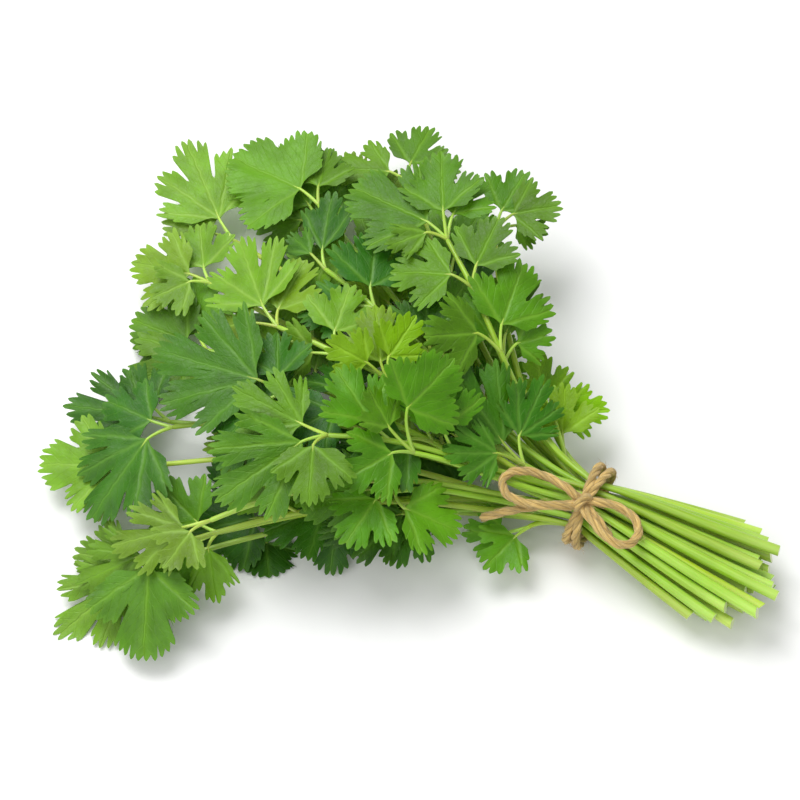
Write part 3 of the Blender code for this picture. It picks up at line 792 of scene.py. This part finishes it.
def fine_point(leaf, x, y, chance):
    """Point of the blade's middle surface at a place in its plane."""
    reach = math.hypot(x, y)
    angle = math.atan2(y, x)
    point = blade_point(leaf, angle, reach / leaf["length"])
    offset, step = lobe_offset(leaf, angle)
    aside = min(abs(reach * math.sin(offset)), 6.0)
    lift = CREASE * aside + lobe_bend(leaf, angle, reach / leaf["length"], chance)
    wave = noise.noise(Vector((x / WAVE_SIZE, y / WAVE_SIZE, 40.0 * chance)))
    ruffle = noise.noise(Vector((x / RUFFLE_SIZE, y / RUFFLE_SIZE, 70.0 * chance)))
    lift += WAVINESS * smooth(reach / 14.0) * wave + RUFFLE * smooth(reach / leaf["length"]) * ruffle
    point += leaf["normal"] * lift
    point.z = max(point.z, 0.5 * BLADE_THICKNESS + 0.02)
    return point


def add_blade(skin, leaf, rng):
    chance = rng.random()
    rim = fine_rim(leaf, rng)
    columns = len(rim)
    step = lobe_offset(leaf, 0.0)[1]
    normal = leaf["normal"]
    verts = []
    place = []
    shape = []
    for side in (1.0, -1.0):
        verts.append(leaf["base"] + normal * side * 0.5 * BLADE_THICKNESS)
        place.append((0.0, 0.0, chance))
        shape.append((step, leaf["length"], 0.0))
        for ring in RINGS:
            thickness = BLADE_THICKNESS if ring < 1.0 else EDGE_THICKNESS
            narrow = 1.0 - BASE_TAPER * (1.0 - smooth(ring / 0.85))
            for spot in rim:
                angle = math.atan2(spot.y, spot.x) * narrow
                x = spot.length * ring * math.cos(angle)
                y = spot.length * ring * math.sin(angle)
                verts.append(fine_point(leaf, x, y, chance) + normal * side * 0.5 * thickness)
                place.append((x, y, chance))
                shape.append((step, leaf["length"], ring))
    faces = []
    slots = []
    under = 1 + len(RINGS) * columns
    for column in range(columns - 1):
        faces += [(0, 1 + column, 2 + column), (under, under + 2 + column, under + 1 + column)]
        slots += [TOP, UNDER]
        for ring in range(len(RINGS) - 1):
            a = 1 + ring * columns + column
            b = a + columns
            faces += [(a, b, b + 1, a + 1), (under + a, under + a + 1, under + b + 1, under + b)]
            slots += [TOP, UNDER]
        rim_start = 1 + (len(RINGS) - 1) * columns + column
        faces.append((rim_start, under + rim_start, under + rim_start + 1, rim_start + 1))
        slots.append(TOP)
    for column, turned in ((0, False), (columns - 1, True)):
        edge = [0] + [1 + ring * columns + column for ring in range(len(RINGS))]
        for a, b in zip(edge, edge[1:]):
            face = (a, under + a, under + b, b)
            faces.append(face[::-1] if turned else face)
            slots.append(TOP)
    skin.add(verts, faces, slots, place, shape, math.hypot(leaf["base"].x, leaf["base"].y) / BUNCH_REACH)
    add_stalk(skin, leaf, chance)


def add_stalk(skin, leaf, chance):
    """Stalk of a leaflet, which runs on as the ribs under the blade."""
    start, base = leaf["start"], leaf["base"]
    bend = base - leaf["ahead"] * 0.35 * (base - start).length
    middle = 0.5 * bend + 0.25 * (start + base)
    points = []
    radii = []
    for step in range(STALK_STEPS + 1):
        part = step / STALK_STEPS
        rest = 1.0 - part
        points.append(start * rest * rest + middle * 2.0 * rest * part + base * part * part)
        radii.append(STALK_ROOT - (STALK_ROOT - STALK_TIP) * part)
    for share, radius in ((0.05, 0.45), (0.14, 0.24)):
        points.append(fine_point(leaf, leaf["length"] * share, 0.0, chance) - leaf["normal"] * 0.12)
        radii.append(radius)
    fine_tube(skin, points, radii, 8, STEM, chance)
    spread, lobes, _, side_reach, _ = LEAF_KINDS[leaf["kind"]]
    for lobe in range(lobes):
        centre = math.radians(-spread + 2.0 * spread / lobes * (lobe + 0.5))
        reach = 1.0 - (1.0 - side_reach) * abs(lobe - lobes // 2) / (lobes // 2)
        line = []
        for step in range(7):
            far = leaf["length"] * reach * (0.02 + 0.80 * step / 6.0)
            point = fine_point(leaf, far * math.cos(centre), far * math.sin(centre), chance)
            line.append(point - leaf["normal"] * 0.20)
        fine_tube(skin, line, [RIB_RADIUS * (1.0 - 0.11 * step) for step in range(7)], 5, UNDER, chance)


# Stems

def curve_through(points, steps, closed=False):
    """Smooth curve through the points with more points between them."""
    count = len(points)
    curve = []
    for index in range(count if closed else count - 1):
        if closed:
            a, b, c, d = (points[(index + turn) % count] for turn in (-1, 0, 1, 2))
        else:
            a, b = points[max(index - 1, 0)], points[index]
            c, d = points[index + 1], points[min(index + 2, count - 1)]
        for step in range(steps):
            t = step / steps
            curve.append(0.5 * (2.0 * b + (c - a) * t + (2.0 * a - 5.0 * b + 4.0 * c - d) * t * t
                                + (3.0 * b - a - 3.0 * c + d) * t ** 3))
    if not closed:
        curve.append(points[-1].copy())
    return curve


def add_stem(skin, sprig, rng):
    chance = rng.random()
    path = curve_through(sprig["path"], STEM_STEPS)
    radii = []
    for index in range(len(path)):
        place = index / STEM_STEPS
        near = min(int(place), len(sprig["radii"]) - 2)
        thick, after = sprig["radii"][near:near + 2]
        radii.append(thick + (after - thick) * (place - near))
    radii[-1] *= 0.6
    fine_tube(skin, path, radii, STEM_SIDES, STEM, chance, sprig["slant"])
    # The cut end is the fan of faces at the start of the tube
    caps = range(len(skin.faces) - 2 * (STEM_SIDES - 2), len(skin.faces), 2)
    for face in caps:
        skin.slots[face] = CUT


# Twine

def ply_frame(points, closed):
    """Direction of the twine and two directions across it at every point."""
    count = len(points)
    centre = sum(points, Vector()) / count
    frames = []
    side = None
    for index, point in enumerate(points):
        if closed:
            axis = (points[(index + 1) % count] - points[index - 1]).normalized()
            side = point - centre
        else:
            axis = (points[min(index + 1, count - 1)] - points[max(index - 1, 0)]).normalized()
            side = axis.orthogonal() if side is None else side
        side = (side - axis * side.dot(axis)).normalized()
        frames.append((axis, side, axis.cross(side)))
    return frames


def add_strand(skin, points, closed, rng):
    """Three plies twisted together along a path."""
    length = sum((b - a).length for a, b in zip(points, points[1:] + points[:1] if closed else points[1:]))
    steps = max(2, round(length / len(points) / PLY_STEP))
    line = curve_through(points, steps, closed)
    frames = ply_frame(line, closed)
    turns = max(1, round(length / PLY_PITCH))
    count = len(line)
    for ply in range(PLY_COUNT):
        verts = []
        place = []
        shape = []
        chance = rng.random()
        for index, point in enumerate(line):
            axis, side, other = frames[index]
            part = index / (count if closed else count - 1)
            angle = 2.0 * math.pi * (turns * part + ply / PLY_COUNT)
            out = side * math.cos(angle) + other * math.sin(angle)
            across = axis.cross(out)
            middle = point + out * PLY_OFFSET
            swell = 1.0 + 0.10 * noise.noise(Vector((length * part / 5.0, 9.0 * ply, 30.0 * chance)))
            if not closed and (index == 0 or index == count - 1):
                swell *= 0.6
            for corner in range(PLY_SIDES):
                turn = 2.0 * math.pi * corner / PLY_SIDES
                lift = out * math.cos(turn) + across * math.sin(turn)
                vert = middle + lift * PLY_RADIUS * swell
                vert.z = max(vert.z, 0.0)
                verts.append(vert)
                place.append((length * part, turn + angle, chance))
                shape.append((math.cos(turn), 0.0, 0.0))
        faces = []
        for index in range(count if closed else count - 1):
            after = (index + 1) % count
            for corner in range(PLY_SIDES):
                beside = (corner + 1) % PLY_SIDES
                faces.append((index * PLY_SIDES + corner, index * PLY_SIDES + beside,
                              after * PLY_SIDES + beside, after * PLY_SIDES + corner))
        if not closed:
            faces.append(tuple(range(PLY_SIDES - 1, -1, -1)))
            faces.append(tuple(range((count - 1) * PLY_SIDES, count * PLY_SIDES)))
        skin.add(verts, faces, [YARN] * len(faces), place, shape)
    add_fibres(skin, line, frames, length, rng)


def add_fibres(skin, line, frames, length, rng):
    """Loose jute fibres that stand off the twine."""
    for _ in range(round(FIBRES_PER_MM * length)):
        index = rng.randrange(len(line))
        axis, side, other = frames[index]
        angle = rng.uniform(0.0, 2.0 * math.pi)
        out = side * math.cos(angle) + other * math.sin(angle)
        ahead = (axis * rng.choice((-1.0, 1.0)) + out * rng.uniform(0.1, 0.7)).normalized()
        reach = rng.uniform(1.5, 5.0)
        curl = axis.cross(out) * rng.uniform(-0.35, 0.35) - out * rng.uniform(0.0, 0.3)
        start = line[index] + out * (PLY_OFFSET + 0.75 * PLY_RADIUS)
        points = []
        for step in range(4):
            part = step / 3.0
            point = start + (ahead * part + curl * part * part) * reach
            point.z = max(point.z, 2.0 * FIBRE_RADIUS)
            points.append(point)
        verts, faces = tube(points, [FIBRE_RADIUS * (1.0 - 0.2 * step) for step in range(4)], 3)
        chance = rng.random()
        skin.add(verts, faces, [FUZZ] * len(faces), [(reach * 3.0, 0.0, chance)] * len(verts),
                 [(1.0, 0.0, 0.0)] * len(verts))


# Materials

class Value:
    """A number or colour inside a material; sums with it become nodes."""

    def __init__(self, look, socket):
        self.look = look
        self.socket = socket

    def __add__(self, other):
        return self.look.maths("ADD", self, other)

    def __sub__(self, other):
        return self.look.maths("SUBTRACT", self, other)

    def __mul__(self, other):
        return self.look.maths("MULTIPLY", self, other)

    def __truediv__(self, other):
        return self.look.maths("DIVIDE", self, other)


class Look:
    """One material with short ways to add and link its nodes."""

    def __init__(self, name):
        self.material = bpy.data.materials.new(name)
        self.material.use_nodes = True
        self.tree = self.material.node_tree
        self.shader = self.tree.nodes["Principled BSDF"]

    def add(self, kind, inputs, output=0, **settings):
        node = self.tree.nodes.new(kind)
        for label, value in settings.items():
            setattr(node, label, value)
        for label, value in inputs.items():
            self.put(node.inputs[label], value)
        return Value(self, node.outputs[output])

    def put(self, socket, value):
        if isinstance(value, Value):
            self.tree.links.new(value.socket, socket)
        else:
            socket.default_value = value

    def surface(self, **values):
        """Set or link inputs of the main shader, named with _ for each space."""
        for label, value in values.items():
            self.put(self.shader.inputs[label.replace("_", " ")], value)

    def values(self, name):
        """The three numbers of a surface value."""
        node = self.tree.nodes.new("ShaderNodeSeparateXYZ")
        self.put(node.inputs[0], self.add("ShaderNodeAttribute", {}, output=1, attribute_name=name))
        return [Value(self, output) for output in node.outputs]

    def maths(self, operation, *values):
        return self.add("ShaderNodeMath", dict(enumerate(values)), operation=operation)

    def vector(self, x, y, z):
        return self.add("ShaderNodeCombineXYZ", {"X": x, "Y": y, "Z": z})

    def noise(self, vector, scale, detail=2.0):
        return self.add("ShaderNodeTexNoise", {"Vector": vector, "Scale": scale, "Detail": detail})

    def mix(self, share, first, second):
        return self.add("ShaderNodeMix", {0: share, 6: first, 7: second}, output=2, data_type="RGBA")

    def hue(self, colour, hue, saturation, value):
        inputs = {"Hue": hue, "Saturation": saturation, "Value": value, "Color": colour}
        return self.add("ShaderNodeHueSaturation", inputs)

    def span(self, value, low, high, out_low, out_high):
        inputs = {0: value, 1: low, 2: high, 3: out_low, 4: out_high}
        return self.add("ShaderNodeMapRange", inputs, interpolation_type="SMOOTHSTEP")

    def draw(self, chance, turns, low, high):
        """A number between low and high that differs from piece to piece with its chance."""
        return self.span(self.maths("FRACT", chance * turns), 0.0, 1.0, low, high)

    def bump(self, height, distance):
        self.surface(Normal=self.add("ShaderNodeBump", {"Height": height, "Distance": distance * MM}))


def rgb(red, green, blue):
    """Linear colour from the 0 to 255 numbers of a screen."""
    parts = (red / 255.0, green / 255.0, blue / 255.0)
    return tuple(p / 12.92 if p <= 0.04045 else ((p + 0.055) / 1.055) ** 2.4 for p in parts) + (1.0,)


# Upper side, underside, veins and stem of each tone
LEAF_COLOURS = {
    "green": (rgb(88, 140, 6), rgb(122, 166, 54), rgb(126, 178, 48), rgb(150, 190, 42)),
    # The deep tone is a darker green of the leaves' own, deepened into painted shade for leaflets inside
    # the pile
    "deep": (rgb(50, 104, 6), rgb(108, 152, 54), rgb(106, 160, 50), rgb(138, 180, 38)),
    "lime": (rgb(124, 168, 6), rgb(142, 182, 48), rgb(160, 206, 50), rgb(162, 198, 46)),
    "pale": (rgb(108, 150, 24), rgb(142, 180, 74), rgb(156, 198, 80), rgb(166, 198, 66)),
}
PALE_STEM = rgb(198, 228, 112)
SIDE_VEIN_PITCH = 4.4
TRANSLUCENCY = 0.20


def blade_look(name, colour, vein, veining, roughness, relief):
    """Leaf surface with a main vein in every lobe, side veins, a fine net and soft mottling."""
    look = Look(name)
    x, y, chance = look.values("place")
    step, length, ring = look.values("shape")
    outer = look.values("outer")[0]
    # Distance along and aside from the main vein of the nearest lobe, a little unsteady
    x_wavy = x + (look.noise(look.vector(x, y, chance), 0.22) - 0.5) * 1.6
    y_wavy = y + (look.noise(look.vector(y, x, chance), 0.22) - 0.5) * 1.6
    reach = look.maths("SQRT", x_wavy * x_wavy + y_wavy * y_wavy)
    angle = look.maths("ARCTAN2", y_wavy, x_wavy)
    offset = (look.maths("FRACT", angle / step + 0.5) - 0.5) * step
    along = reach * look.maths("COSINE", offset)
    aside = look.maths("ABSOLUTE", reach * look.maths("SINE", offset))
    # Main veins, slanted side veins and the net between them
    width = look.span(reach / length, 0.0, 1.0, 1.25, 0.45)
    main = look.span(aside / width, 0.10, 1.0, 1.0, 0.0)
    slanted = look.maths("FRACT", (along - aside * 1.25) / SIDE_VEIN_PITCH)
    beside = look.maths("ABSOLUTE", slanted - 0.5)
    side = look.span(beside * SIDE_VEIN_PITCH, 0.08, 0.42, 1.0, 0.0)
    cells = look.add("ShaderNodeTexVoronoi", {"Vector": look.vector(x, y, chance), "Scale": 0.75},
                     feature="DISTANCE_TO_EDGE")
    net = look.span(cells, 0.0, 0.10, 1.0, 0.0)
    lines = look.maths("MAXIMUM", look.maths("MAXIMUM", main, side * 0.45), net * 0.16)
    # Tone of the leaflet, then its mottling, then painted light and shade by its place in the bunch
    broad = look.noise(look.vector(x, y, chance * 50.0), 0.09, 3.0)
    fine = look.noise(look.vector(x, y, chance), 0.9)
    body = look.hue(colour, look.span(chance, 0.0, 1.0, 0.494, 0.513),
                    look.span(fine, 0.3, 0.7, 1.0, 1.08), look.span(broad, 0.3, 0.7, 0.82, 1.14))
    body = look.hue(body, 0.5, 1.0, look.draw(chance, 7.0, 0.80, 1.20))
    # Painted light: leaflets near the tie and at the rim of the bunch are made lighter, and at the rim
    # yellower, for the light they catch; those between stay darker, as painted shade inside the pile
    body = look.hue(body, look.span(outer, 0.4, 1.0, 0.5, 0.494), look.span(outer, 0.4, 1.0, 1.0, 0.96),
                    look.span(outer, 0.1, 0.45, 1.16, 1.0) * look.span(outer, 0.45, 1.0, 1.0, 1.12))
    # Paler along the main veins, where the veins' own pale colour widens into a broad painted highlight on
    # the ridge of each lobe, then paler at the rim and on the veins themselves
    # Broad painted highlight along each lobe's ridge, over its pale main vein
    body = look.mix(look.span(aside / (reach * 0.10 + 1.2), 0.0, 1.0, 0.28, 0.0), body, vein)
    body = look.mix(look.span(ring, 0.90, 1.0, 0.0, 0.18), body, vein)
    body = look.mix(lines * veining, body, vein)
    look.surface(Base_Color=body, Specular_IOR_Level=0.32,
                 Roughness=look.span(fine, 0.2, 0.8, roughness - 0.06, roughness + 0.08))
    look.bump(lines * relief + look.noise(look.vector(x, y, chance), 0.45, 3.0) * 0.9, 0.22)
    glow = look.add("ShaderNodeBsdfTranslucent", {"Color": look.hue(body, 0.49, 1.1, 1.5)})
    inputs = {0: TRANSLUCENCY, 1: Value(look, look.shader.outputs[0]), 2: glow}
    look.put(look.tree.nodes["Material Output"].inputs["Surface"], look.add("ShaderNodeMixShader", inputs))
    return look.material


def stem_look(name, colour):
    """Green stem with long streaks, paler toward the cut end."""
    look = Look(name)
    along, turn, chance = look.values("place")
    streak_place = look.vector(look.maths("COSINE", turn) * 1.2, look.maths("SINE", turn) * 1.2,
                               along * 0.03 + chance * 60.0)
    streaks = look.noise(streak_place, 1.9, 3.0)
    patches = look.noise(look.vector(along * 0.05, chance, 0.0), 1.0)
    body = look.mix(look.span(streaks, 0.35, 0.7, 0.0, 0.30), colour, PALE_STEM)
    body = look.mix(look.span(along, 0.0, 22.0, 0.45, 0.0), body, PALE_STEM)
    body = look.hue(body, look.span(chance, 0.0, 1.0, 0.488, 0.508), 1.0,
                    look.span(patches, 0.3, 0.7, 0.94, 1.06) * look.draw(chance, 9.0, 0.86, 1.10))
    look.surface(Base_Color=body, Roughness=look.span(streaks, 0.3, 0.7, 0.30, 0.45),
                 Specular_IOR_Level=0.5, Subsurface_Weight=0.25,
                 Subsurface_Radius=(0.4, 1.0, 0.15), Subsurface_Scale=1.2 * MM)
    look.bump(streaks, 0.10)
    return look.material


def cut_look():
    """Wet, pale pith of the cut ends."""
    look = Look("cut_end")
    pith = look.noise(look.add("ShaderNodeTexCoord", {}, output=3), 1400.0)
    look.surface(Base_Color=look.mix(pith, rgb(196, 214, 142), rgb(226, 234, 190)), Roughness=0.35)
    look.bump(pith, 0.2)
    return look.material


def jute_look(name, colour, painted_ply_shade, light):
    """Jute yarn with long fibres, with painted shade on the inner side of each ply, between the plies."""
    look = Look(name)
    along, turn, chance = look.values("place")
    outside = look.values("shape")[0]
    fibre_place = look.vector(along * 0.10, look.maths("COSINE", turn) * 1.6,
                              look.maths("SINE", turn) * 1.6 + chance * 80.0)
    fibres = look.noise(fibre_place, 3.4, 4.0)
    body = look.mix(look.span(fibres, 0.35, 0.68, 0.0, 1.0), colour, light)
    # Painted shade: the side of each ply that faces the others is darkened, where shade falls between the
    # plies
    body = look.mix(look.span(outside, -0.9, 0.35, 0.75, 0.0), body, painted_ply_shade)
    body = look.hue(body, 0.5, 1.0, look.span(chance, 0.0, 1.0, 0.85, 1.15))
    look.surface(Base_Color=body, Roughness=0.88, Specular_IOR_Level=0.2,
                 Sheen_Weight=0.25, Sheen_Roughness=0.5)
    look.bump(fibres, 0.35)
    return look.material


def leaf_materials(tone):
    upper, under, vein, stem = LEAF_COLOURS[tone]
    return [blade_look(tone + "_top", upper, vein, veining=0.40, roughness=0.42, relief=-0.9),
            blade_look(tone + "_under", under, vein, veining=0.60, roughness=0.60, relief=1.2),
            stem_look(tone + "_stem", stem)]


# Pieces

def dress(obj, node):
    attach(obj, "root")
    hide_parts(node)


def add_pieces():
    strands = twine_tubes(TWINE_RADIUS, 5)
    low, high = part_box("twine")
    corners = [vert for verts, _ in strands for vert in verts]
    middle = [0.5 * (min(c[axis] for c in corners) + max(c[axis] for c in corners)) for axis in (0, 1)]
    centre = (low + high) * 0.5 / MM
    shift = Vector((centre.x - middle[0], centre.y - middle[1], 0.0))
    wide = [Shape(-1, *part) for part in twine_tubes(TWINE_RADIUS + 0.1, 5)]
    greens = {tone: leaf_materials(tone) for tone in LEAF_COLOURS}
    cut = cut_look()
    for index, sprig in enumerate(lay_out(wide)):
        rng = random.Random(SEED + 300 + index)
        skin = Skin()
        add_stem(skin, sprig, rng)
        for leaf in sprig["leaves"]:
            add_blade(skin, leaf, rng)
        obj = skin.piece("leafy_stem_%02d" % (index + 1), greens[sprig["tone"]] + [cut], shift)
        dress(obj, "sprig_%02d" % (index + 1))
    rng = random.Random(SEED + 500)
    skin = Skin()
    for points, closed in twine_paths():
        add_strand(skin, points, closed, rng)
    # The second colour of each jute look is the painted shade between the plies
    yarn = jute_look("jute_yarn", rgb(192, 158, 86), rgb(108, 80, 38), rgb(224, 196, 130))
    fuzz = jute_look("jute_fuzz", rgb(198, 166, 108), rgb(154, 122, 72), rgb(222, 196, 146))
    dress(skin.piece("jute_twine", [yarn, fuzz], shift), "twine")
    return shift


# Floor, light and camera

AZIMUTH = math.radians(28.0)
ELEVATION = math.radians(62.0)
MM_PER_PIXEL = 0.38
TIE_PIXEL = (589.0, 506.0)
IMAGE_SIDE = 800.0
CAMERA_DISTANCE = 1150.0
SENSOR = 36.0
FLOOR_REACH = 3000.0
WORLD_STRENGTH = 0.52
# Each light's place to the right of, behind and above the aim point, its size and power
LIGHTS = {"key": (-300.0, 340.0, 960.0, 640.0, 9.6), "fill": (-420.0, -560.0, 700.0, 800.0, 3.0)}


def add_floor():
    side = FLOOR_REACH * MM
    corners = [(-side, -side, 0.0), (side, -side, 0.0), (side, side, 0.0), (-side, side, 0.0)]
    mesh = bpy.data.meshes.new("floor")
    mesh.from_pydata(corners, [], [(0, 1, 2, 3)])
    look = Look("floor")
    look.surface(Base_Color=(0.93, 0.93, 0.93, 1.0), Roughness=0.9, Specular_IOR_Level=0.1)
    mesh.materials.append(look.material)
    floor = bpy.data.objects.new("floor", mesh)
    bpy.context.scene.collection.objects.link(floor)


def add_camera_and_light(tie):
    back = Vector((math.sin(AZIMUTH) * math.cos(ELEVATION), -math.cos(AZIMUTH) * math.cos(ELEVATION),
                   math.sin(ELEVATION)))
    right = Vector((math.cos(AZIMUTH), math.sin(AZIMUTH), 0.0))
    up = back.cross(right)
    half = 0.5 * IMAGE_SIDE
    aim = tie - right * (TIE_PIXEL[0] - half) * MM_PER_PIXEL + up * (TIE_PIXEL[1] - half) * MM_PER_PIXEL
    data = bpy.data.cameras.new("camera")
    data.sensor_width = SENSOR
    data.lens = SENSOR * CAMERA_DISTANCE / (IMAGE_SIDE * MM_PER_PIXEL)
    data.clip_start = 0.01
    camera = bpy.data.objects.new("camera", data)
    bpy.context.scene.collection.objects.link(camera)
    turn = Matrix((right, up, back)).transposed().to_4x4()
    camera.matrix_world = Matrix.Translation((aim + back * CAMERA_DISTANCE) * MM) @ turn
    bpy.context.scene.camera = camera
    level = Vector((up.x, up.y, 0.0)).normalized()
    for name, (sideways, behind, height, size, power) in LIGHTS.items():
        light = bpy.data.lights.new(name, "AREA")
        light.size = size * MM
        light.energy = power
        lamp = bpy.data.objects.new(name, light)
        lamp.location = (aim + right * sideways + level * behind + Vector((0.0, 0.0, height))) * MM
        lamp.rotation_mode = "QUATERNION"
        lamp.rotation_quaternion = (aim * MM - lamp.location).to_track_quat("-Z", "Y")
        bpy.context.scene.collection.objects.link(lamp)
    world = bpy.data.worlds.new("studio")
    world.use_nodes = True
    sky = world.node_tree.nodes["Background"]
    sky.inputs["Color"].default_value = (1.0, 1.0, 1.0, 1.0)
    sky.inputs["Strength"].default_value = WORLD_STRENGTH
    bpy.context.scene.world = world
    bpy.context.scene.view_settings.view_transform = "Standard"


bunch_shift = add_pieces()
add_floor()
add_camera_and_light(bunch_shift + Vector((0.0, 0.0, TIE_HEIGHT)))
